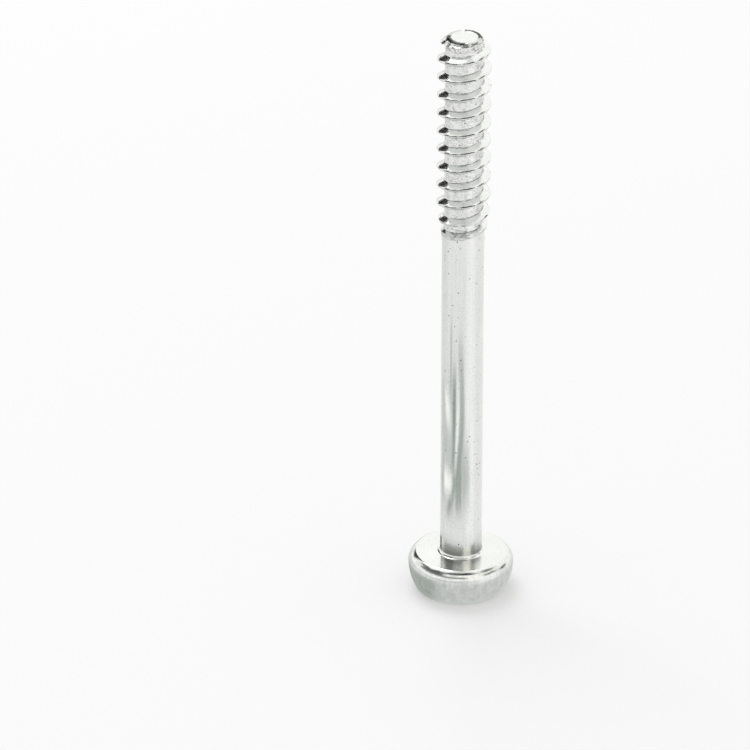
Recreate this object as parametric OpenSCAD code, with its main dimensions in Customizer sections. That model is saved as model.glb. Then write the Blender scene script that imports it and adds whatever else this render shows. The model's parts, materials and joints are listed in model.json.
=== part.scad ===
// A long pan-head tapping screw with a cross recess, a plain shank and a
// coarse thread on its outer end. It stands upright on its head, so the crown
// of the head is at the origin, facing down, and the blunt tip points up.
// One turned and rolled piece of wire: a single solid.

/* [Shank] */
// Length from the bearing face under the head to the tip
length = 50; // [35:1:80]
// Diameter of the plain shank
shank_d = 3.7; // [3.5:0.05:4.2]
// Radius of the fillet between the shank and the bearing face
neck_fillet = 0.25; // [0.1:0.05:0.5]

/* [Thread] */
// Diameter over the crests of the thread
thread_d = 4.7; // [4.3:0.05:5.4]
// Diameter of the core between the turns
core_d = 3.3; // [3:0.05:3.4]
// Distance from one turn of the thread to the next
pitch = 1.7; // [1.4:0.05:2.1]
// Angle between the two flanks of the ridge
flank_angle = 60; // [45:1:65]
// Width of the narrow flat along the crest
crest_w = 0.06; // [0.04:0.01:0.12]
// Length of the threaded core, from the tip to the plain shank
thread_length = 18.4; // [10:0.2:30]
// Length of the sloping shoulder where the core widens to the shank
shoulder_l = 0.2; // [0.1:0.05:0.5]
// How far the ridge goes on past the threaded core
runout_l = 1.4; // [0.3:0.1:1.6]
// Distance by which the last turns close up as the ridge runs out
close_up = 0.2; // [0:0.05:0.4]
// Number of turns over which the ridge sinks down to the shank
fade_turns = 2.3; // [1:0.1:3]
// Distance from the tip over which the ridge rises to its full height
lead_l = 0.6; // [0.4:0.05:1.2]
// Bearing of the ridge where it starts at the tip, anticlockwise from +X
start_angle = 232; // [0:1:359]

/* [Tip] */
// Diameter of the flat face at the tip
tip_d = 2.9; // [2.4:0.05:3.1]
// Length of the chamfer between the tip face and the core
tip_chamfer = 0.35; // [0.2:0.05:0.8]

/* [Head] */
// Largest diameter of the head
head_d = 9.3; // [8.8:0.1:10.5]
// Height of the head, from the crown to the bearing face
head_h = 3.5; // [3.3:0.1:4.2]
// Diameter of the flat bearing face round the shank
bearing_d = 8; // [7.4:0.1:8.5]
// Diameter of the flat crown, with its rounded edge
crown_d = 7.8; // [7.4:0.1:8.3]
// Height above the crown at which the head is widest
widest_h = 2.5; // [2:0.1:2.7]
// Radius of the rounded edge of the crown
crown_edge_r = 0.2; // [0.1:0.05:0.4]

/* [Cross recess] */
// Span across two opposite wings at the crown
recess_span = 6.5; // [5.6:0.1:6.8]
// Width of each wing
wing_w = 1.5; // [1.2:0.05:1.7]
// Distance between the rounded corners of two opposite lands
heart_d = 3.9; // [3.6:0.05:4.2]
// Depth of the wings
recess_depth = 2.6; // [2:0.05:2.7]
// Angle of the outer edges of the wings to the axis
wing_slope = 26.5; // [20:0.5:30]
// Draft of the walls of the wings
wing_draft = 7; // [4:0.5:9]
// Angle of the flat cone at the floor of the recess
floor_angle = 140; // [130:1:150]

/* [Hidden] */
$fn = 96;

shank_r = shank_d / 2;
thread_r = thread_d / 2;
core_r = core_d / 2;
tip_r = tip_d / 2;
head_r = head_d / 2;
bearing_r = bearing_d / 2;
crown_r = crown_d / 2;

tip_z = head_h + length;
core_z = tip_z - thread_length;

// The side of the head is two arcs that meet, upright, at its widest height
upper_drop = widest_h;
upper_in = head_r - crown_r;
upper_arc_r = (upper_drop * upper_drop + upper_in * upper_in) / (2 * upper_in);
lower_rise = head_h - widest_h;
lower_in = head_r - bearing_r;
lower_arc_r = (lower_rise * lower_rise + lower_in * lower_in) / (2 * lower_in);
lower_arc_x = head_r - lower_arc_r;

// The rounded edge of the crown touches the crown and the upper arc
edge_reach = upper_arc_r - crown_edge_r;
edge_drop = widest_h - crown_edge_r;
upper_arc_x = head_r - upper_arc_r;
edge_x = upper_arc_x + sqrt(edge_reach * edge_reach - edge_drop * edge_drop);
edge_top_z = widest_h - edge_drop * upper_arc_r / edge_reach;

// The lands between the wings are cones, whose walls lean by the draft
land_r = (heart_d / 2 - wing_w / sqrt(2)) / (sqrt(2) - 1);
land_offset = wing_w / 2 + land_r;
recess_span_r = recess_span / 2;
floor_r = recess_span_r - recess_depth * tan(wing_slope);
floor_cone_h = floor_r / tan(floor_angle / 2);
cut_past = 0.5;

// Steps round one turn of the ridge, and how deep its foot is sunk
turn_steps = 40;
foot_sink = 0.12;
// The ridge ends with its crest this far under the surface of the shank
end_sink = 0.08;
// Steps over which the last stretch of the ridge dives under that surface
end_steps = 4;
// Height of the ridge above the shank where that dive starts
end_rise = 0.04;
// The ridge starts this far from the tip and keeps this clear of its face
start_s = 0.1;
tip_margin = 0.03;
// The last turns start to close up this far before the end of the core, over
// this length
close_lead = 1.5;
close_l = 2;

flank_slope = tan(flank_angle / 2);
ridge_h = thread_r - core_r;
step_s = pitch / turn_steps;
end_s = thread_length + runout_l;
fade_l = fade_turns * pitch;
ridge_steps = ceil((end_s - start_s) / step_s) + end_steps;

// Radius of the core at the distance s from the tip, chamfer included
function core_at(s) =
    core_r - (core_r - tip_r) * max(0, 1 - s / tip_chamfer);

// Radius of the crest at the distance s from the tip: it rises at the tip,
// stays at its full height, sinks slowly and then dives under the shank
function lead_share(s) = sin(90 * min(1, max(0, s - start_s / 2) / lead_l));
function fade_share(s) = min(1, max(0, (end_s - s) / fade_l));
function dive(s) = max(0, s - end_s) / (end_steps * step_s);
function crest_at(s) =
    s < thread_length / 2
    ? core_r + ridge_h * lead_share(s)
    : shank_r + end_rise
      + (thread_r - shank_r - end_rise) * fade_share(s)
      - (end_rise + end_sink) * dive(s);

// How far the ridge at the distance s from the tip is drawn back to the tip
function close_share(s) =
    min(1, max(0, (s - thread_length + close_lead) / close_l));
function drawn_back(s) =
    close_up * pow(close_share(s), 2) * (3 - 2 * close_share(s));

// Half width of the full ridge at a radius r. Where the ridge is lower, its
// flanks stay as they are and its crest is wider.
function half_at(r) = crest_w / 2 + (thread_r - r) * flank_slope;

// Half widths at the foot and at the crest, on the lower and the upper side
function foot_half(s) = half_at(core_at(s) - foot_sink);
function upper_foot_half(s) = min(foot_half(s), s - tip_margin);
function crest_half(s) = half_at(crest_at(s));
function upper_crest_half(s) = min(crest_half(s), upper_foot_half(s) / 2);

// The four corners of the ridge's section at one step, lower side first
function ridge_corner(r, angle, z) = [r * cos(angle), r * sin(angle), z];
function ridge_section(i) =
    let (
        s = start_s + i * step_s,
        angle = start_angle - i * 360 / turn_steps,
        z = tip_z - s + drawn_back(s),
        foot_r = core_at(s) - foot_sink
    )
    [
        ridge_corner(foot_r, angle, z - foot_half(s)),
        ridge_corner(crest_at(s), angle, z - crest_half(s)),
        ridge_corner(crest_at(s), angle, z + upper_crest_half(s)),
        ridge_corner(foot_r, angle, z + upper_foot_half(s))
    ];

// Side of the head in half section: the upper arc, the lower arc and the
// rounded edge of the crown
module head_section() {
    intersection() {
        translate([upper_arc_x, widest_h]) circle(upper_arc_r);
        translate([0, edge_top_z]) square([head_r, widest_h - edge_top_z]);
    }
    intersection() {
        translate([lower_arc_x, widest_h]) circle(lower_arc_r);
        translate([0, widest_h]) square([head_r, lower_rise]);
    }
    intersection() {
        translate([edge_x, crown_edge_r]) circle(crown_edge_r);
        square([head_r, widest_h]);
    }
    square([edge_x, widest_h]);
    translate([0, widest_h]) square([max(shank_r, lower_arc_x), lower_rise]);
}

// Shank, shoulder, core and chamfered tip in half section
module shank_section() {
    polygon([
        [0, widest_h],
        [shank_r, widest_h],
        [shank_r, core_z - shoulder_l],
        [core_r, core_z],
        [core_r, tip_z - tip_chamfer],
        [tip_r, tip_z],
        [0, tip_z]
    ]);
    translate([shank_r, head_h]) difference() {
        square(neck_fillet);
        translate([neck_fillet, neck_fillet]) circle(neck_fillet);
    }
}

// The plain turned form, before the thread and the recess
module blank() {
    rotate_extrude() {
        head_section();
        shank_section();
    }
}

// The helical ridge, right-handed, with its foot sunk into the core
module thread_ridge() {
    points = [for (i = [0:ridge_steps]) each ridge_section(i)];
    sides = [
        for (i = [0:ridge_steps - 1], k = [0:3])
            let (
                a = 4 * i + k,
                b = 4 * i + (k + 1) % 4
            )
            each [[a, b + 4, b], [a, a + 4, b + 4]]
    ];
    last = 4 * ridge_steps;
    ends = [
        [0, 1, 2], [0, 2, 3],
        [last, last + 2, last + 1], [last, last + 3, last + 2]
    ];
    polyhedron(points, concat(sides, ends));
}

// The cross recess: a steep cone that the four lands divide into wings
module recess() {
    difference() {
        rotate_extrude() polygon([
            [0, -cut_past],
            [recess_span_r + cut_past * tan(wing_slope), -cut_past],
            [floor_r, recess_depth],
            [0, recess_depth + floor_cone_h]
        ]);
        for (corner = [0:3]) rotate(45 + 90 * corner)
            translate([land_offset * sqrt(2), 0, -2 * cut_past])
            land(recess_depth + floor_cone_h + 4 * cut_past);
    }
}

// One land, which widens towards the floor of the recess
module land(h) {
    lean = tan(wing_draft);
    cylinder(h, land_r - 2 * cut_past * lean, land_r + (h - 2 * cut_past) * lean);
}

module screw() {
    color("silver") difference() {
        union() {
            blank();
            thread_ridge();
        }
        recess();
    }
}

screw();
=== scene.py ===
# %% [markdown]
# # A long screw, standing on its head
#
# The object is one piece of wire: one end was headed, the other was rolled
# into a thread, and the whole was plated with zinc. Its solid comes with the
# frame. This lesson makes a finer skin for that solid, gives it the look of
# zinc plate, and sets up a small studio round it.
#
# The frame comes first, because every size and place below follows it.

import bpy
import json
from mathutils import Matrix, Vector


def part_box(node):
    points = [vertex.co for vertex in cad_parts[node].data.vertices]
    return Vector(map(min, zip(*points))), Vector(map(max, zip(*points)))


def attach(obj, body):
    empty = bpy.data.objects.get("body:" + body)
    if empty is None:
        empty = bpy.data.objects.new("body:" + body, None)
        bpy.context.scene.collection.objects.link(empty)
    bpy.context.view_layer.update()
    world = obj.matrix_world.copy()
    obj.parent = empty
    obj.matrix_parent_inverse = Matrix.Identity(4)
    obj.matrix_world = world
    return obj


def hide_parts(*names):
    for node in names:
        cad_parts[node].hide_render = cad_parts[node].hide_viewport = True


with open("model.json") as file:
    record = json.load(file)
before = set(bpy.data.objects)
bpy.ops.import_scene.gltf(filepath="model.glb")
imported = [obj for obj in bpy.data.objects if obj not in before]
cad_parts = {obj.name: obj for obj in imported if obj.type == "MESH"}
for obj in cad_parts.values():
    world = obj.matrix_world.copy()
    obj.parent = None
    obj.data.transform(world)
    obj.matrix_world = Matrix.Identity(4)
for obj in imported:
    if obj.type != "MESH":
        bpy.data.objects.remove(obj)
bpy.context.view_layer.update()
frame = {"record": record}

# %% [markdown]
# ## Sizes
#
# Blender counts in metres, and this screw is 9 mm across. Some mesh tools
# take a thousandth of a millimetre as nothing at that scale, so the screw is
# modelled in millimetres and scaled down once, when it is finished. The main
# sizes are read from the frame and its mounts, so they can't drift from the
# solid.

# %% The main sizes, in millimetres
import json
import math

import bmesh
import bpy
from mathutils import Matrix, Vector, noise

MM = 0.001
screw_low, screw_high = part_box("screw")
mounts = {mount["name"]: mount for mount in frame["record"]["mounts"]}
tip_z = screw_high.z / MM
head_r = screw_high.x / MM
bearing_z = mounts["bearing_face"]["pos_m"][2] / MM
thread_r = mounts["thread"]["dims"]["r_mm"]
thread_length = mounts["thread"]["dims"]["length_mm"]
recess_r = mounts["driver_recess"]["dims"]["r_mm"]
print(f"tip at {tip_z:.2f}, bearing face at {bearing_z:.2f}, head radius {head_r:.2f}")

# %% [markdown]
# ## The head and the plain shank
#
# A header upsets the end of the wire in a round die, so the head and the
# shank are a turned shape: one outline, carried once round the axis. The
# outline could be drawn with many points, but it is kept as its few corners
# and two arcs. A bevel on a corner vertex then rounds it by its own radius,
# and a spin makes the surface.

# %% The outline of the head and the shank
shank_r = 1.85
bearing_r = 4.0
crown_r = 3.9
crown_inner_r = 3.6
widest_z = 2.5
runout_l = 1.4
plain_margin = 1.0
plain_top_z = tip_z - thread_length - runout_l - plain_margin


def side_arc(start, end, steps):
    """Points of an arc between two (radius, height) places, upright at the wider."""
    rise = abs(end[1] - start[1])
    inward = abs(end[0] - start[0])
    arc_r = (rise * rise + inward * inward) / (2 * inward)
    wide_r, wide_z = max(start, end)
    lean = [math.asin((place[1] - wide_z) / arc_r) for place in (start, end)]
    turns = [lean[0] + (lean[1] - lean[0]) * step / steps for step in range(steps + 1)]
    return [
        (wide_r - arc_r + arc_r * math.cos(turn), wide_z + arc_r * math.sin(turn))
        for turn in turns
    ]


upper_side = side_arc((crown_r, 0), (head_r, widest_z), 10)
lower_side = side_arc((head_r, widest_z), (bearing_r, bearing_z), 7)
outline = (
    [(crown_inner_r, 0)]
    + upper_side
    + lower_side[1:]
    + [(shank_r, bearing_z), (shank_r, plain_top_z)]
)
print(len(outline), "points in the outline")

# %% Helpers: a chain of edges, and the rounding of one of its corners
def chain_of(points):
    """A bmesh with one open chain of edges through (radius, height) points."""
    mesh = bmesh.new()
    chain = [mesh.verts.new((radius, 0, height)) for radius, height in points]
    for pair in zip(chain, chain[1:]):
        mesh.edges.new(pair)
    return mesh


def round_corner(mesh, place, corner_r, segments):
    """Rounds the vertex of a chain that lies at a (radius, height) place."""
    target = Vector((place[0], 0, place[1]))
    corner = min(mesh.verts, key=lambda vertex: (vertex.co - target).length)
    arms = [edge.other_vert(corner).co - corner.co for edge in corner.link_edges]
    reach = corner_r / math.tan(arms[0].angle(arms[1]) / 2)
    bmesh.ops.bevel(
        mesh, geom=[corner], offset=reach, offset_type="OFFSET", segments=segments,
        profile=0.5, affect="VERTICES", material=-1,
    )


# %% Round the corners and spin the outline
COLUMNS = 144
AXIS = {"cent": (0, 0, 0), "axis": (0, 0, 1)}
crown_edge_r = 0.2
bearing_edge_r = 0.12
neck_r = 0.32

blank = chain_of(outline)
round_corner(blank, (crown_r, 0), crown_edge_r, 5)
round_corner(blank, (bearing_r, bearing_z), bearing_edge_r, 5)
round_corner(blank, (shank_r, bearing_z), neck_r, 8)
bmesh.ops.spin(
    blank, geom=blank.verts[:] + blank.edges[:], angle=math.tau, steps=COLUMNS,
    use_merge=True, **AXIS,
)
rims = [edge for edge in blank.edges if edge.is_boundary]
crown_rim = [edge for edge in rims if edge.verts[0].co.z < widest_z]
bmesh.ops.contextual_create(blank, geom=crown_rim)
bmesh.ops.recalc_face_normals(blank, faces=blank.faces[:])
print("head and shank:", len(blank.faces), "faces")

# %% [markdown]
# ## The cross recess
#
# A punch with four wings drives the recess into the crown. It tapers all
# over, or it would not come out again: a steep cone sets the outer ends of
# the wings, and four lands, each part of a cone that widens with depth, stand
# between them. Drawing those curves by hand would be guesswork, so the punch
# itself is built from its cones, and one boolean presses it into the head.

# %% Helper: one mesh cut by another
def settled(name, mesh):
    """An object that holds a finished bmesh, which is freed."""
    data = bpy.data.meshes.new(name)
    mesh.to_mesh(data)
    mesh.free()
    thing = bpy.data.objects.new(name, data)
    bpy.context.scene.collection.objects.link(thing)
    return thing


def cut_away(body, tools):
    """The bmesh of a body once some tools, which are used up, have cut it."""
    for tool in tools:
        cut = body.modifiers.new("cut", "BOOLEAN")
        cut.operation = "DIFFERENCE"
        cut.solver = "EXACT"
        cut.object = tool
    shown = body.evaluated_get(bpy.context.evaluated_depsgraph_get())
    result = bmesh.new()
    result.from_mesh(shown.to_mesh())
    shown.to_mesh_clear()
    for thing in [body, *tools]:
        bpy.data.objects.remove(thing)
    return result


# %% The punch
WELD = 0.0001
recess_depth = 2.6
wing_slope = math.radians(26.5)
floor_angle = math.radians(140)
floor_edge_r = 0.25
past = 0.5

floor_r = recess_r - recess_depth * math.tan(wing_slope)
floor_drop = floor_r / math.tan(floor_angle / 2)
punch = chain_of([
    (0, -past),
    (recess_r + past * math.tan(wing_slope), -past),
    (floor_r, recess_depth),
    (0, recess_depth + floor_drop),
])
round_corner(punch, (floor_r, recess_depth), floor_edge_r, 4)
bmesh.ops.spin(
    punch, geom=punch.verts[:] + punch.edges[:], angle=math.tau, steps=COLUMNS,
    use_merge=True, **AXIS,
)
bmesh.ops.remove_doubles(punch, verts=punch.verts[:], dist=WELD)
bmesh.ops.recalc_face_normals(punch, faces=punch.faces[:])
print("cone of the punch:", len(punch.faces), "faces")

# %% The four lands between its wings
wing_w = 1.5
heart_r = 1.95
wing_draft = math.radians(7)

root_two = math.sqrt(2)
land_r = (heart_r - wing_w / root_two) / (root_two - 1)
land_distance = (wing_w / 2 + land_r) * root_two
land_bottom = -2 * past
land_top = recess_depth + floor_drop + past
lands = []
for quarter in range(4):
    turned = Matrix.Rotation(math.radians(45 + 90 * quarter), 4, "Z")
    moved = Matrix.Translation((land_distance, 0, (land_bottom + land_top) / 2))
    land = bmesh.new()
    bmesh.ops.create_cone(
        land, cap_ends=True, segments=COLUMNS, matrix=turned @ moved,
        radius1=land_r + land_bottom * math.tan(wing_draft),
        radius2=land_r + land_top * math.tan(wing_draft),
        depth=land_top - land_bottom,
    )
    lands.append(settled(f"land_{quarter}", land))
punch = cut_away(settled("punch", punch), lands)
print("punch:", len(punch.faces), "faces")

# %% Press the recess into the head and soften its mouth
mouth_bevel = 0.06

blank = cut_away(settled("blank", blank), [settled("punch", punch)])
bmesh.ops.remove_doubles(blank, verts=blank.verts[:], dist=WELD)


def on_mouth(edge):
    """True for an edge where the recess meets the flat of the crown."""
    return all(
        abs(vertex.co.z) < 0.001 and vertex.co.xy.length < crown_inner_r - 0.01
        for vertex in edge.verts
    ) and any(abs(face.normal.z) < 0.9 for face in edge.link_faces)


mouth = [edge for edge in blank.edges if on_mouth(edge)]
bmesh.ops.bevel(
    blank, geom=mouth, offset=mouth_bevel, offset_type="OFFSET", segments=3,
    profile=0.5, affect="EDGES", material=-1, clamp_overlap=True,
)
print("mouth:", len(mouth), "edges; head and shank:", len(blank.faces), "faces")

# %% [markdown]
# ## The thread
#
# Two flat dies roll the thread: they press a groove into the wire, and the
# metal rises between its turns as a ridge. One way to model it is a ridge
# that is wound round a cylinder, but then the two have to be joined. Here
# the outline of exactly one pitch, from root to root, is spun with a step up
# at each turn of the crank. One turn on, its lower end meets its upper end,
# so the ribbon closes on itself into one skin. Each flank has a slight bend,
# because the metal rounds off a little where it rises to the crest.

# %% The outline of one pitch
core_r = 1.65
pitch = 1.7
crest_w = 0.06
bend_r = thread_r - 0.14
flank_lean = math.radians(29.5)
crest_lean = math.radians(36.5)
root_edge_r = 0.05
crest_edge_r = 0.03
shortest_flank = 0.5
shortest_root = 0.2

half_crest = crest_w / 2
bend_run = (thread_r - bend_r) * math.tan(crest_lean)
flank_run = bend_run + (bend_r - core_r) * math.tan(flank_lean)
half_outline = [
    (core_r, half_crest + flank_run),
    (bend_r, half_crest + bend_run),
    (thread_r, half_crest),
]
corners = [(radius, pitch / 2 - run) for radius, run in half_outline]
corners += [(radius, pitch / 2 + run) for radius, run in reversed(half_outline)]
ribbon = chain_of([(core_r, 0)] + corners + [(core_r, pitch)])
flanks = [edge for edge in ribbon.edges if edge.calc_length() > shortest_flank]
bmesh.ops.subdivide_edges(ribbon, edges=flanks, cuts=4)
for corner in (corners[0], corners[-1]):
    round_corner(ribbon, corner, root_edge_r, 4)
for corner in (corners[2], corners[3]):
    round_corner(ribbon, corner, crest_edge_r, 3)
roots = [edge for edge in ribbon.edges if edge.calc_length() > shortest_root]
bmesh.ops.subdivide_edges(ribbon, edges=roots, cuts=3)
print("one pitch of the thread:", len(ribbon.verts), "points")

# %% Wind one turn and stack its copies up the wire
first_crest = 1.2
turn_weld = 0.003
turns = math.ceil((tip_z - plain_top_z) / pitch) + 2
start_z = tip_z - first_crest - pitch / 2 - (turns - 2) * pitch
bmesh.ops.translate(ribbon, verts=ribbon.verts[:], vec=(0, 0, start_z))
bmesh.ops.spin(
    ribbon, geom=ribbon.verts[:] + ribbon.edges[:], angle=math.tau, steps=COLUMNS,
    dvec=(0, 0, pitch / COLUMNS), **AXIS,
)
one_turn = ribbon.verts[:] + ribbon.edges[:] + ribbon.faces[:]
for turn in range(1, turns):
    copied = bmesh.ops.duplicate(ribbon, geom=one_turn)["geom"]
    copied = [item for item in copied if isinstance(item, bmesh.types.BMVert)]
    bmesh.ops.translate(ribbon, verts=copied, vec=(0, 0, turn * pitch))
bmesh.ops.remove_doubles(ribbon, verts=ribbon.verts[:], dist=turn_weld)
print("wound thread:", len(ribbon.faces), "faces,", turns, "turns")

# %% Cut the ribbon level where the chamfer will need more rows of vertices
chamfer_rows = (0.08, 0.11, 0.14, 0.17, 0.2, 0.24, 0.28)


def cut_level(mesh, height, side=1, drop=False):
    """Cuts a mesh level at a height, and may drop what lies on that side of it."""
    bmesh.ops.bisect_plane(
        mesh, geom=mesh.verts[:] + mesh.edges[:] + mesh.faces[:], dist=0.0005,
        plane_co=(0, 0, height), plane_no=(0, 0, side), clear_outer=drop,
    )


for drop in chamfer_rows:
    cut_level(ribbon, tip_z - drop)
print("with rows for the chamfer:", len(ribbon.faces), "faces")

# %% [markdown]
# The ribbon is even from end to end, and the real thread isn't. It grows out
# of the chamfered tip, it is full by its second turn, and over its last turns
# the dies lift: the turns close up, the ridge sinks into the thicker shank
# and, half a turn later, the groove does. A ridge that sinks keeps its
# flanks and only gets a wider crest. Each vertex is moved in or out by rules
# in its depth below the tip, with soft versions of the larger and the smaller
# of two radii, so that the forms run into each other.

# %% Soft steps and soft limits
def smooth_step(value, low, high):
    """0 below low, 1 above high, and an even S between them."""
    share = min(1, max(0, (value - low) / (high - low)))
    return share * share * (3 - 2 * share)


def soft_larger(one, other, blend):
    """The larger of two numbers, rounded where they are nearly equal."""
    return max(one, other) + max(blend - abs(one - other), 0) ** 2 / (4 * blend)


def soft_smaller(one, other, blend):
    """The smaller of two numbers, rounded where they are nearly equal."""
    return min(one, other) - max(blend - abs(one - other), 0) ** 2 / (4 * blend)


# %% Rules for the radius of the threaded end
tip_r = 1.42
chamfer_slope = 1.2
tip_share = 0.75
full_depth = 2
groove_end = thread_length - 0.6
groove_fade = 0.5
fade_turns = 2.3
fade_l = fade_turns * pitch
end_depth = thread_length + runout_l
foot_blend = 0.04
crest_blend = 0.03


def crest_above(depth, swing):
    """Depth of the crest next above a point at a depth and a bearing."""
    first = first_crest - pitch * (swing / math.tau % 1)
    return first + pitch * math.floor((depth - first) / pitch)


def thread_radius(share, depth, swing):
    """Radius at a share of the ridge's height and at a depth below the tip."""
    above = crest_above(depth, swing)
    plain = smooth_step(above, groove_end - groove_fade, groove_end + groove_fade)
    plain = core_r + (shank_r - core_r) * plain
    grown = tip_share + (1 - tip_share) * smooth_step(depth, 0.4, full_depth)
    crest = core_r + (thread_r - core_r) * grown
    sunk = max(0, 1 - (end_depth - depth) / fade_l)
    crest -= (thread_r - shank_r) * sunk
    ridge = soft_smaller(core_r + (thread_r - core_r) * share, crest, crest_blend)
    wound = soft_larger(plain, ridge, foot_blend)
    return soft_smaller(wound, tip_r + chamfer_slope * depth, foot_blend)


print("rules for", round(end_depth, 2), "mm of thread")

# %% Shape both ends of the thread
close_up = 0.45
close_from = thread_length - 1.5
close_to = thread_length + 0.5
waviness = 0.03


def shape_end(vertex):
    """Moves a vertex of the even ribbon to its place on the real thread."""
    flat = vertex.co.xy.length
    share = (flat - core_r) / (thread_r - core_r)
    depth = tip_z - vertex.co.z
    radius = thread_radius(share, depth, math.atan2(vertex.co.y, vertex.co.x))
    lapped = smooth_step(depth, groove_end - 0.8, groove_end)
    lapped *= smooth_step(end_depth - depth, -0.2, 0.2)
    radius += waviness * lapped * noise.noise(vertex.co * 1.9)
    vertex.co.xy *= max(radius, 0.2) / flat
    vertex.co.z += close_up * smooth_step(depth, close_from, close_to)


for vertex in ribbon.verts:
    shape_end(vertex)
print("shaped", len(ribbon.verts), "vertices")

# %% Trim it to length
tip_edge = 0.05
join_gap = 0.15


def trim(mesh, height, side):
    """Drops what lies on one side of a height; returns the edges of the cut."""
    cut_level(mesh, height, side, drop=True)
    rims = [edge for edge in mesh.edges if edge.is_boundary]
    return [edge for edge in rims if abs(edge.verts[0].co.z - height) < 0.01]


tip_ring = trim(ribbon, tip_z - tip_edge, 1)
shank_ring = trim(ribbon, plain_top_z + join_gap, -1)
ring_verts = {vertex for edge in shank_ring for vertex in edge.verts}
step = math.tau / COLUMNS


def between_columns(vertex):
    """True for a vertex that stands between two columns of the spin."""
    place = math.atan2(vertex.co.y, vertex.co.x) / step
    return abs(place - round(place)) > 0.05


spare = [vertex for vertex in ring_verts if between_columns(vertex)]
bmesh.ops.dissolve_verts(ribbon, verts=spare)
print("rings:", len(tip_ring), "at the tip,", len(ring_verts) - len(spare), "at the shank")

# %% [markdown]
# The tip is where the wire was cut off: a flat face with a slightly uneven
# surface and a soft edge, which still shows the burr of the cut. The edge of
# the ring is extruded inwards in a few steps, and each new ring is scaled.
# A little noise then keeps the face from looking turned.

# %% Close the tip
def next_ring(mesh, edges, ring_r, height):
    """Extrudes a ring of edges and scales the new one to a radius at a height."""
    out = bmesh.ops.extrude_edge_only(mesh, edges=edges)["geom"]
    for vertex in (item for item in out if isinstance(item, bmesh.types.BMVert)):
        vertex.co.xy *= ring_r / vertex.co.xy.length
        vertex.co.z = height
    return [item for item in out if isinstance(item, bmesh.types.BMEdge) and item.is_boundary]


face_drop = 0.05
edge_rings = ((1.42, 0.02), (1.38, 0.005), (1.32, 0.015), (1.2, 0.04))
face_radii = (1.0, 0.75, 0.5, 0.25)

ring = tip_ring
for ring_r, drop in edge_rings:
    ring = next_ring(ribbon, ring, ring_r, tip_z - drop)
for ring_r in face_radii:
    ring = next_ring(ribbon, ring, ring_r, tip_z - face_drop)
bmesh.ops.contextual_create(ribbon, geom=ring)
print("tip closed:", len(ribbon.faces), "faces in the threaded end")

# %% Make the cut uneven and raise its burr
uneven_depth = 0.3
face_sink = 0.012
wave_h = 0.03
grain_h = 0.008
burr_h = 0.05
burr_from = 0.45
burr_to = 1.75


def roughen(vertex):
    """Moves a vertex near the tip up or down, as the cut left it."""
    swing = math.atan2(vertex.co.y, vertex.co.x)
    wave = noise.noise(Vector((2.2 * math.cos(swing), 2.2 * math.sin(swing), 0.3)))
    wave *= smooth_step(vertex.co.xy.length, 0.9, 1.3)
    grain = noise.noise(vertex.co * 3.1)
    vertex.co.z -= max(0, face_sink + wave_h * wave + grain_h * grain)
    burr = smooth_step(vertex.co.xy.length, 1.3, 1.4)
    burr *= smooth_step(swing, burr_from, burr_from + 0.25)
    burr *= 1 - smooth_step(swing, burr_to - 0.25, burr_to)
    vertex.co.z += burr * burr_h * max(0, 0.4 + noise.noise(vertex.co * 5.0))


near_cut = [vertex for vertex in ribbon.verts if tip_z - vertex.co.z < uneven_depth]
for vertex in near_cut:
    roughen(vertex)
print("uneven:", len(near_cut), "vertices")

# %% [markdown]
# ## One skin
#
# The two ends are joined with a bridge between two rings of as many columns.
# Then the whole is scaled to metres. Faces are shaded smooth, and only edges
# that really turn a corner are marked sharp.

# %% Join, scale and mark the sharp edges
SHARP = math.radians(32)

threaded = bpy.data.meshes.new("threaded_end")
ribbon.to_mesh(threaded)
ribbon.free()
blank.from_mesh(threaded)
bpy.data.meshes.remove(threaded)
open_edges = [edge for edge in blank.edges if edge.is_boundary]
bmesh.ops.bridge_loops(blank, edges=open_edges)
bmesh.ops.recalc_face_normals(blank, faces=blank.faces[:])
bmesh.ops.scale(blank, vec=(MM, MM, MM), verts=blank.verts[:])
for face in blank.faces:
    face.smooth = True
for edge in blank.edges:
    edge.smooth = edge.is_manifold and edge.calc_face_angle() < SHARP
left_open = sum(not edge.is_manifold for edge in blank.edges)
skin = settled("plated_screw", blank)
normals = skin.modifiers.new("even_normals", "WEIGHTED_NORMAL")
normals.keep_sharp = True
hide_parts("screw")
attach(skin, "root")
print("skin:", len(skin.data.polygons), "faces,", left_open, "open edges")

# %% [markdown]
# ## Writing a finish
#
# A finish is a network of nodes. Drawn as code it is hard to read, so one
# small class wraps a socket and lets plain arithmetic add the Math nodes.
# Every other node comes from one method, which takes the node's type, its
# settings and the values or links of its sockets.

# %% A socket that can be reckoned with
class Wire:
    """A socket of a node tree; arithmetic on it adds the nodes that do it."""

    def __init__(self, socket):
        self.socket = socket

    def reckon(self, operation, *terms):
        tree = self.socket.id_data
        node = tree.nodes.new("ShaderNodeMath")
        node.operation = operation
        for slot, term in zip(node.inputs, terms):
            if isinstance(term, Wire):
                tree.links.new(term.socket, slot)
            else:
                slot.default_value = term
        return Wire(node.outputs[0])

    def __add__(self, other):
        return self.reckon("ADD", self, other)

    def __sub__(self, other):
        return self.reckon("SUBTRACT", self, other)

    def __mul__(self, other):
        return self.reckon("MULTIPLY", self, other)

    def __truediv__(self, other):
        return self.reckon("DIVIDE", self, other)

    def __pow__(self, other):
        return self.reckon("POWER", self, other)

    def __rsub__(self, other):
        return self.reckon("SUBTRACT", other, self)

    def __rtruediv__(self, other):
        return self.reckon("DIVIDE", other, self)

    __radd__ = __add__
    __rmul__ = __mul__

    def size(self):
        return self.reckon("ABSOLUTE", self)

    def turned(self, other):
        """Angle of a direction, from its part across and its part ahead."""
        return self.reckon("ARCTAN2", self, other)

    def larger(self, other):
        return self.reckon("MAXIMUM", self, other)


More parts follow.
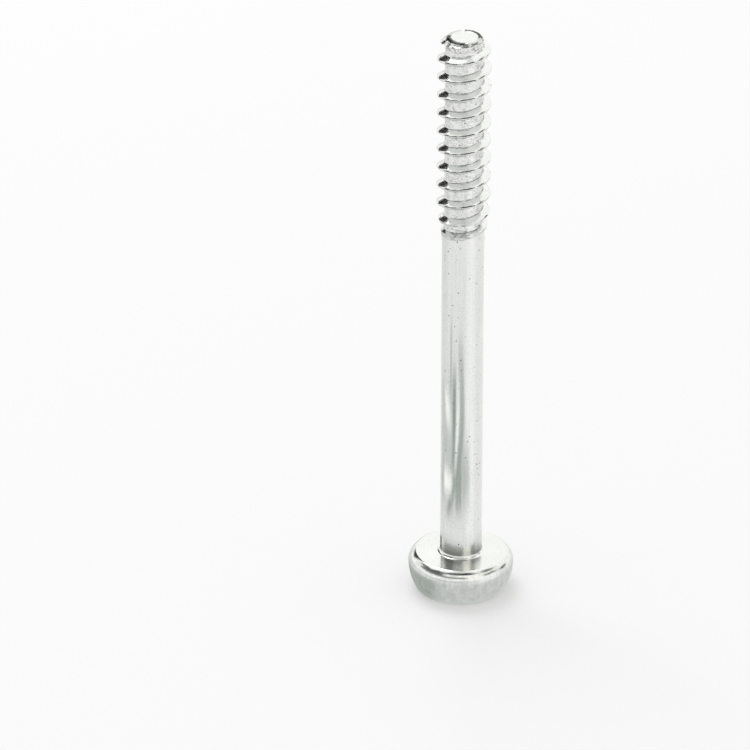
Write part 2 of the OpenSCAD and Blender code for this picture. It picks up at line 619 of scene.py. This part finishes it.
# %% A finish, and the one method that adds any other node
class Finish:
    """A node tree under construction, for a material or for the world."""

    def __init__(self, owner):
        owner.use_nodes = True
        self.owner = owner
        self.tree = owner.node_tree
        self.tree.nodes.clear()

    def node(self, kind, settings=None, **values):
        """Adds a node; returns its outputs, as wires, by name."""
        node = self.tree.nodes.new(kind)
        for name, value in (settings or {}).items():
            setattr(node, name, value)
        for name, value in values.items():
            label = name.replace("_", " ")
            slot = next(s for s in node.inputs if s.name == label and s.enabled)
            if isinstance(value, Wire):
                self.tree.links.new(value.socket, slot)
            else:
                slot.default_value = value
        return {out.name: Wire(out) for out in node.outputs if out.enabled}

    def rise(self, value, low, high):
        """0 where a value is below low, 1 above high, an even S between."""
        settings = {"interpolation_type": "SMOOTHSTEP"}
        limits = {"From_Min": low, "From_Max": high}
        return self.node("ShaderNodeMapRange", settings, Value=value, **limits)["Result"]

    def mix(self, share, one, other):
        """A colour that goes from one to another as a share goes from 0 to 1."""
        settings = {"data_type": "RGBA"}
        return self.node("ShaderNodeMix", settings, Factor=share, A=one, B=other)["Result"]

    def blend(self, share, one, other):
        """A surface that goes from one shader to another as a share does."""
        node = self.tree.nodes.new("ShaderNodeMixShader")
        for slot, wire in zip(node.inputs, (share, one, other)):
            self.tree.links.new(wire.socket, slot)
        return Wire(node.outputs[0])

    def glow(self, colour, strength=1.0):
        """A surface that gives off light of a colour."""
        values = {"Color": (*colour, 1), "Strength": strength}
        return self.node("ShaderNodeEmission", **values)["Emission"]

    def speckle(self, place, per_mm, detail=2.0, roughness=0.5, distortion=0.0):
        """Even noise from 0 to 1, with so many lumps to a millimetre."""
        return self.node(
            "ShaderNodeTexNoise", Vector=place, Scale=per_mm, Detail=detail,
            Roughness=roughness, Distortion=distortion,
        )["Fac"]


# %% [markdown]
# ## Zinc plate
#
# Bright zinc plate is a pale, slightly cool metal with a fine satin grain.
# On this screw it differs from place to place. The drawn shank has faint
# lines along the wire and small dark pits. The core between the turns is
# covered with fine squiggles, where the dies dragged the metal. A dark line
# of painted shade follows its roots, and a fainter painted dark reflection
# follows the crests, also where the ridge sinks. The recess and the neck are
# darkened with painted shade, which is thinner on one side of the neck. The
# cut edge of the tip holds a darker film, and painted shade makes it thicker
# on two opposite sides. Masks made from the height and the distance to the
# axis say which is which.

# %% Where on the screw a point lies
plate = Finish(bpy.data.materials.new("zinc_plate"))
metres = plate.node("ShaderNodeTexCoord")["Object"]
in_mm = {"operation": "SCALE"}
place = plate.node("ShaderNodeVectorMath", in_mm, Vector=metres, Scale=1 / MM)["Vector"]
across = plate.node("ShaderNodeSeparateXYZ", Vector=place)
height = across["Z"]
radius = (across["X"] * across["X"] + across["Y"] * across["Y"]) ** 0.5


def facing(bearing):
    """1 where the metal faces a bearing, clockwise from +Y, and less beside it."""
    turn = math.radians(bearing)
    return (math.sin(turn) * across["X"] + math.cos(turn) * across["Y"]) / radius


print("place, height and radius:", len(plate.tree.nodes), "nodes")

# %% Masks for the thread
core_z = tip_z - thread_length
on_thread = plate.rise(height, core_z - 0.6, core_z)
on_shank = (1 - on_thread) * plate.rise(height, bearing_z + 0.1, bearing_z + 0.5)
below_tip = tip_z - height
ridge_depth = below_tip + close_up * plate.rise(below_tip, close_from, close_to - close_up)
sunk = ((ridge_depth - end_depth) / fade_l + 1).larger(0)
crest_r = thread_r - (thread_r - shank_r) * sunk
on_crest = on_thread * plate.rise(radius, crest_r - 0.06, crest_r - 0.02)
in_root = on_thread * plate.rise(radius, core_r + 0.013, core_r + 0.03)
in_root = in_root * (1 - plate.rise(radius, core_r + 0.06, core_r + 0.12))
on_core = on_thread * (1 - plate.rise(radius, core_r + 0.02, core_r + 0.06))
on_core = on_core * (1 - plate.rise(height, tip_z - 0.12, tip_z - 0.08))
near_tip = plate.rise(height, tip_z - 0.95, tip_z - 0.8)
print("with the thread:", len(plate.tree.nodes), "nodes")

# %% Masks for the head and the neck
in_recess = 1 - plate.rise(height, recess_depth + 0.3, recess_depth + 0.5)
in_recess = in_recess * (1 - plate.rise(radius, recess_r, recess_r + 0.1))
in_recess = in_recess * plate.rise(height, 0.02, 0.6)
on_side = plate.rise(radius, bearing_r, bearing_r + 0.3)
at_neck = 1 - plate.rise(height, bearing_z + 0.5, bearing_z + 2.2)
at_neck = at_neck * plate.rise(height, bearing_z + 0.18, bearing_z + 0.35)
at_neck = at_neck * (1 - plate.rise(radius, shank_r + 0.25, shank_r + 0.45))
# The painted shade at the neck is thinner on the side facing bearing 163
thin_shade_side = plate.rise(facing(163), 0.95, 0.985)
at_neck = at_neck * (1 - 0.7 * thin_shade_side)
at_foot = at_neck * (1 - plate.rise(height, bearing_z + 0.3, bearing_z + 1.4))
print("with the head:", len(plate.tree.nodes), "nodes")

# %% The patterns of the plate
def stretched(wide, tall):
    """Place, with patterns wide across the wire and tall along it."""
    factors = (1 / wide, 1 / wide, 1 / tall)
    settings = {"vector_type": "POINT"}
    return plate.node("ShaderNodeMapping", settings, Vector=place, Scale=factors)["Vector"]


grain = plate.speckle(place, 9.0, 3.0, 0.6)
mottle = plate.speckle(place, 6.0, 3.0, 0.65)
cloud = plate.speckle(place, 0.35, 2.0)
drawn = plate.speckle(stretched(0.12, 3.5), 1.0, 2.0, 0.6)
cells = plate.node("ShaderNodeTexVoronoi", Vector=place, Scale=2.0, Randomness=1.0)
patchy = plate.speckle(place, 2.3, 1.0)
pits = (1 - plate.rise(cells["Distance"], 0.09, 0.15)) * plate.rise(patchy, 0.48, 0.56)
pits = pits * plate.rise(height, bearing_z, bearing_z + 1)
broken = plate.rise(plate.speckle(place, 2.2, 2.0), 0.38, 0.5)
# Patches in which the painted lines on the crests and in the roots show
painted_line_patches = plate.rise(plate.speckle(place, 2.0, 2.0), 0.35, 0.6)
brushed = plate.rise(plate.speckle(stretched(0.5, 1.2), 1.0, 4.0, 0.7), 0.4, 0.65)
print("patterns:", len(plate.tree.nodes), "nodes")


# %% Squiggles on the core, and the film and painted shade on the cut
def squiggles(wide, tall, half):
    """Thin wavy lines: the places where a stretched noise is nearly even."""
    wander = plate.speckle(stretched(wide, tall), 1.0, 2.0, 0.5, 1.0)
    return 1 - plate.rise((wander - 0.5).size(), 0.3 * half, half)


lines = squiggles(0.8, 0.4, 0.035).larger(squiggles(0.45, 0.25, 0.028)) * broken
ragged_radius = radius + 0.4 * (mottle - 0.5)
cut_edge = plate.rise(ragged_radius, tip_r - 0.27, tip_r - 0.21)
cut_edge = cut_edge * plate.rise(height, tip_z - 0.16, tip_z - 0.1)
# Painted shade thickens the film on the sides facing bearings 49 and 229
chamfer_shade_sides = plate.rise(facing(49).size() + 0.5 * (patchy - 0.5), 0.55, 0.7)
cut_film_and_shade = cut_edge * (0.25 + 0.75 * chamfer_shade_sides)
print("with squiggles and film:", len(plate.tree.nodes), "nodes")

# %% Colour
bright = (0.86, 0.865, 0.85, 1)
zinc = (0.8, 0.81, 0.795, 1)
dull = (0.66, 0.675, 0.655, 1)
# A dull grey for the brushed film on the head's side and for painted shade
film_and_shade = (0.5, 0.52, 0.49, 1)
dark = (0.2, 0.2, 0.2, 1)
black = (0.04, 0.045, 0.04, 1)

colour = plate.mix(plate.rise(mottle, 0.3, 0.55) * 0.6 + 0.4, dull, zinc)
colour = plate.mix(plate.rise(cloud, 0.4, 0.7) * 0.4, colour, bright)
colour = plate.mix(on_shank * plate.rise(drawn, 0.5, 0.75) * 0.35, colour, dull)
colour = plate.mix(on_core * 0.25, colour, bright)
# Painted dark reflection along the crests and painted shade in the roots, in patches
colour = plate.mix(on_crest * painted_line_patches * 0.3, colour, dark)
colour = plate.mix(in_root * painted_line_patches * 0.85, colour, dark)
colour = plate.mix(on_core * lines * (0.5 + 0.4 * near_tip), colour, dark)
# A dark film on the cut edge, made thicker on two sides by painted shade
colour = plate.mix(cut_film_and_shade, colour, black)
colour = plate.mix(on_side * brushed * 0.35, colour, film_and_shade)
# Painted shade in the neck, where the shank meets the head, darkest at its foot
colour = plate.mix(at_neck * 0.3, colour, film_and_shade)
colour = plate.mix(at_foot * 0.7, colour, dark)
# Painted shade in the recess
colour = plate.mix(in_recess * 0.55, colour, film_and_shade)
colour = plate.mix(pits * 0.9, colour, black)
print("colour:", len(plate.tree.nodes), "nodes")

# %% Roughness, relief and the finished plate
roughness = 0.1 + 0.08 * mottle + 0.06 * grain
roughness = roughness + 0.25 * pits + 0.16 * at_neck - 0.03 * on_shank
roughness = roughness + 0.06 * on_side * brushed
relief = grain * 0.6 + mottle * 0.4 + on_shank * drawn * 0.5 - pits * 0.6
relief = relief - on_core * lines * 0.5
bump = plate.node("ShaderNodeBump", Strength=0.6, Distance=0.004 * MM, Height=relief)
surface = plate.node(
    "ShaderNodeBsdfPrincipled", Base_Color=colour, Metallic=1.0,
    Roughness=roughness, Normal=bump["Normal"],
)
plate.node("ShaderNodeOutputMaterial", Surface=surface["BSDF"])
skin.data.materials.append(plate.owner)
print("zinc plate:", len(plate.tree.nodes), "nodes")

# %% [markdown]
# ## The studio
#
# The screw stands in a bright tent on a white table. Bright metal shows
# nothing but what is round it, so its look is made here. The world gives even
# white light, and the table and some panels are what the metal mirrors.

# %% The world
world = Finish(bpy.data.worlds.new("tent"))
bpy.context.scene.world = world.owner
light = world.node("ShaderNodeBackground", Color=(1, 1, 1, 1), Strength=1.0)
world.node("ShaderNodeOutputWorld", Surface=light["Background"])
print("world is set")

# %% [markdown]
# The table is white in the picture, and it keeps a part of the screw's soft
# shadow. Only reflections see more on it, all painted: dark strokes on the
# left of the front, which are painted reflections, with pale painted glints
# between them, which give the plain shank its streaks, a painted brighter
# stretch on the right, a painted shadow close to the head and a painted
# darker tone far to the left.
#
# A round wall turns a level ray by twice the bearing at which it is hit, and
# the camera looks down at a slope of about one in two. So a point of the
# shank mirrors the table at twice its own bearing and about twice its own
# height away. A stroke is therefore given by an angle in radians, from the
# front to the left, and by the distances from the axis, in millimetres, at
# which it starts and ends.

# %% Where on the table a point lies
table = Finish(bpy.data.materials.new("table"))
rays = table.node("ShaderNodeLightPath")
mirrored = rays["Is Glossy Ray"].larger(rays["Is Transmission Ray"])

spot = table.node("ShaderNodeTexCoord")["Object"]
spot = table.node("ShaderNodeVectorMath", in_mm, Vector=spot, Scale=1 / MM)["Vector"]
parts = table.node("ShaderNodeSeparateXYZ", Vector=spot)
away = (parts["X"] * parts["X"] + parts["Y"] * parts["Y"]) ** 0.5
leftward = (-1 * parts["X"]).turned(-1 * parts["Y"])
wavy = table.speckle(spot, 0.09, 2.0, 0.6, 0.4) - 0.5
print("place on the table:", len(table.tree.nodes), "nodes")


# %% Helpers: strokes that the metal sees
def stroke(middle, half_width, near, far, soft=4):
    """A stroke about an angle to the left, from one distance to another."""
    off = (leftward + 0.1 * wavy - middle).size()
    width = 1 - table.rise(off, 0.4 * half_width, half_width)
    start = table.rise(away, near, near + soft)
    return width * start * (1 - table.rise(away, far - soft, far))


def strongest(rows):
    """Strokes laid over one another; a row is a strength and a stroke's place."""
    first, *others = [strength * stroke(*where) for strength, *where in rows]
    for other in others:
        first = first.larger(other)
    return first


def hooked(middle, turns_at, curl):
    """An angle that swings left, faster and faster, nearer than a distance."""
    inward = (turns_at - away).larger(0)
    return curl * inward * inward + middle


# %% Dark strokes and pale glints
inner_arc = hooked(0.74, 27, 0.05)
outer_arc = hooked(-0.05, 37, 0.0031) + 0.02 * (away - 37).larger(0)
fading = 0.75 - 0.22 * table.rise(away, 26, 36)
# Painted dark reflections, seen only by the metal
streak = strongest([
    (0.45, 1.09, 0.14, 34, 56),
    (0.75, inner_arc, 0.28, 19, 46),
    (fading, outer_arc, 0.34, 14, 52),
    (0.65, 0.26, 0.42, 15, 28),
    (0.42, -0.2, 0.8, 14, 34, 8),
    (0.38, 1.5, 1.3, 12, 47, 8),
])
# Painted highlights between the dark strokes
glint = strongest([
    (1.0, 0.093 * away - 1.94, 0.42, 32, 41, 3),
    (0.55, 1.08 - 0.02 * away, 0.17, 22, 44),
    (1.0, 1.38, 0.7, 19, 25, 2),
])
fine = table.node("ShaderNodeCombineXYZ", X=3 * leftward, Y=0.12 * away)["Vector"]
ragged = table.rise(table.speckle(fine, 1.0, 2.0, 0.6, 0.8), 0.36, 0.58)
streak = streak * (0.8 + 0.2 * ragged)
# A painted darker tone far to the left
side = 0.12 * table.rise(leftward, 1.3, 1.9)
# A painted shadow round the head, stronger to the left, seen only in reflections
painted_contact_shadow = 0.25 + 0.3 * table.rise(leftward, 0.3, 1.0)
painted_contact_shadow = painted_contact_shadow * (1 - table.rise(away, head_r + 2, head_r + 9))
streak = streak.larger(side).larger(painted_contact_shadow) * (1 - glint)
# A painted brighter reflection on the right
right = table.rise(-1 * leftward, 0.15, 0.7) * (1 - table.rise(-1 * leftward, 0.85, 1.6))
bright_share = (0.4 * right * table.rise(away, 6, 14)).larger(glint)
print("strokes:", len(table.tree.nodes), "nodes")

# %% The table itself
near_side = table.rise(-1 * parts["Y"], -80, 35)
tone = table.mix(near_side, (0.72, 0.72, 0.72, 1), (0.735, 0.735, 0.735, 1))
lit = table.node("ShaderNodeBsdfDiffuse", Color=tone)["BSDF"]
pale = table.glow((1, 1, 1), 0.965)
shine = table.glow((1, 1, 0.98), 1.3)
murk = table.glow((0.07, 0.13, 0.08))
mixed = table.blend(0.3 * rays["Is Camera Ray"] + 0.85 * mirrored, lit, pale)
mixed = table.blend(mirrored * bright_share, mixed, shine)
mixed = table.blend(mirrored * streak, mixed, murk)
table.node("ShaderNodeOutputMaterial", Surface=mixed)

ground = bmesh.new()
bmesh.ops.create_grid(ground, x_segments=1, y_segments=1, size=2.0)
floor = settled("floor", ground)
floor.data.materials.append(table.owner)
print("table:", len(table.tree.nodes), "nodes")

# %% [markdown]
# What stands round the table is made of panels: patches of a sphere about
# the screw, each between two bearings and two elevations, so that a panel is
# given by what the metal sees of it. They light nothing and cast no shadow.
# Bearings run clockwise from +Y, which is away from the camera.
#
# There is white cloth all round and a small grey patch overhead. In front of
# the cloth are parts of a dark room, which draw the dark facets on the left
# of every turn, the thin lines along the crests and the dark lines on the rim
# of the head. A bright window to the right of the front draws the warm band
# at the neck.

# %% Panels round the table
PANEL_ROWS = 8
PANEL_COLUMNS = 24
MIDDLE = Vector((0, 0, 0.03))


def panel(name, bearings, elevations, distance, colour, strength=1.0):
    """A patch of a sphere about the screw that is seen only in reflections."""
    paint = Finish(bpy.data.materials.new(name))
    paint.node("ShaderNodeOutputMaterial", Surface=paint.glow(colour, strength))
    low, high = (math.radians(angle) for angle in elevations)
    leans = [low + (high - low) * row / PANEL_ROWS for row in range(PANEL_ROWS + 1)]
    mesh = chain_of([(distance * math.cos(lean), distance * math.sin(lean)) for lean in leans])
    start, end = (math.radians(90 - bearing) for bearing in bearings)
    turn = Matrix.Rotation(end, 3, "Z")
    bmesh.ops.rotate(mesh, verts=mesh.verts[:], cent=(0, 0, 0), matrix=turn)
    bmesh.ops.spin(
        mesh, geom=mesh.verts[:] + mesh.edges[:], angle=start - end,
        steps=PANEL_COLUMNS, **AXIS,
    )
    bmesh.ops.translate(mesh, verts=mesh.verts[:], vec=MIDDLE)
    patch = settled(name, mesh)
    patch.data.materials.append(paint.owner)
    patch.visible_camera = False
    patch.visible_diffuse = False
    patch.visible_shadow = False


CREAM = (1, 1, 0.975)
WARM = (1, 0.97, 0.88)
ROOM = (0.03, 0.033, 0.04)
panel("cloth", (-180, 180), (0, 90), 1.2, CREAM, 1.14)
panel("overhead", (-180, 180), (84, 90), 1.0, (0.62, 0.64, 0.62))
panel("room_high", (128, 232), (54, 78), 0.8, ROOM)
panel("room_front", (166, 285), (20, 34), 0.8, (0.22, 0.225, 0.205))
panel("room_near", (92, 125), (20, 34), 0.8, (0.22, 0.225, 0.205))
panel("room_left", (-135, -58), (34, 48), 0.8, (0.1, 0.105, 0.1))
panel("room_left_high", (-130, -90), (48, 62), 0.8, (0.1, 0.105, 0.1))
panel("room_warm", (72, 112), (44, 62), 0.8, (0.22, 0.2, 0.17))
panel("stand", (-46, -20), (12, 66), 0.7, (0.01, 0.01, 0.012))
panel("window", (125, 166), (16, 40), 0.6, WARM, 1.15)
panel("room_right", (64, 84), (6, 20), 0.6, (0.12, 0.08, 0.06))
print("panels are set")

# %% The lamp
lamp = bpy.data.lights.new("key", "AREA")
lamp.size = 0.4
lamp.energy = 2
key = bpy.data.objects.new("key", lamp)
bpy.context.scene.collection.objects.link(key)
key.location = (-0.15, 0.32, 0.62)
key.rotation_euler = (MIDDLE - key.location).to_track_quat("-Z", "Y").to_euler()
print("lamp is set")

# %% [markdown]
# ## The camera
#
# The picture was taken with a long lens from a little over half a metre,
# looking down on the screw at about 27 degrees. The screw doesn't stand in
# the middle of the picture, so the camera looks at it and is then turned
# until the screw's middle falls on its own place in the picture.

# %% The camera
PICTURE = 750
view_distance = 0.6
view_elevation = math.radians(26.8)
middle_height = 0.028
middle_at = (462.67, 302.8)
pixels_per_metre = 11475
camera_roll = math.radians(0.41)

focal = pixels_per_metre * view_distance
back = Vector((0, -math.cos(view_elevation), math.sin(view_elevation)))
aim = Vector((0, 0, middle_height))
lens = bpy.data.cameras.new("camera")
lens.sensor_width = 36
lens.lens = lens.sensor_width * focal / PICTURE
lens.clip_start = 0.01
lens.clip_end = 20
camera = bpy.data.objects.new("camera", lens)
bpy.context.scene.collection.objects.link(camera)
bpy.context.scene.camera = camera

right_by = (middle_at[0] - PICTURE / 2) / focal
up_by = (PICTURE / 2 - middle_at[1]) / focal
off_centre = Vector((right_by, up_by, -1))
look = (-back).to_track_quat("-Z", "Y").to_matrix()
roll = Matrix.Rotation(camera_roll, 3, "Z")
turn = Vector((0, 0, -1)).rotation_difference(off_centre).to_matrix()
stands = Matrix.Translation(aim + back * view_distance)
camera.matrix_world = stands @ (look @ roll @ turn.inverted()).to_4x4()
print(f"lens {lens.lens:.0f} mm")

# %% Finish
bpy.context.scene.view_settings.view_transform = "Standard"
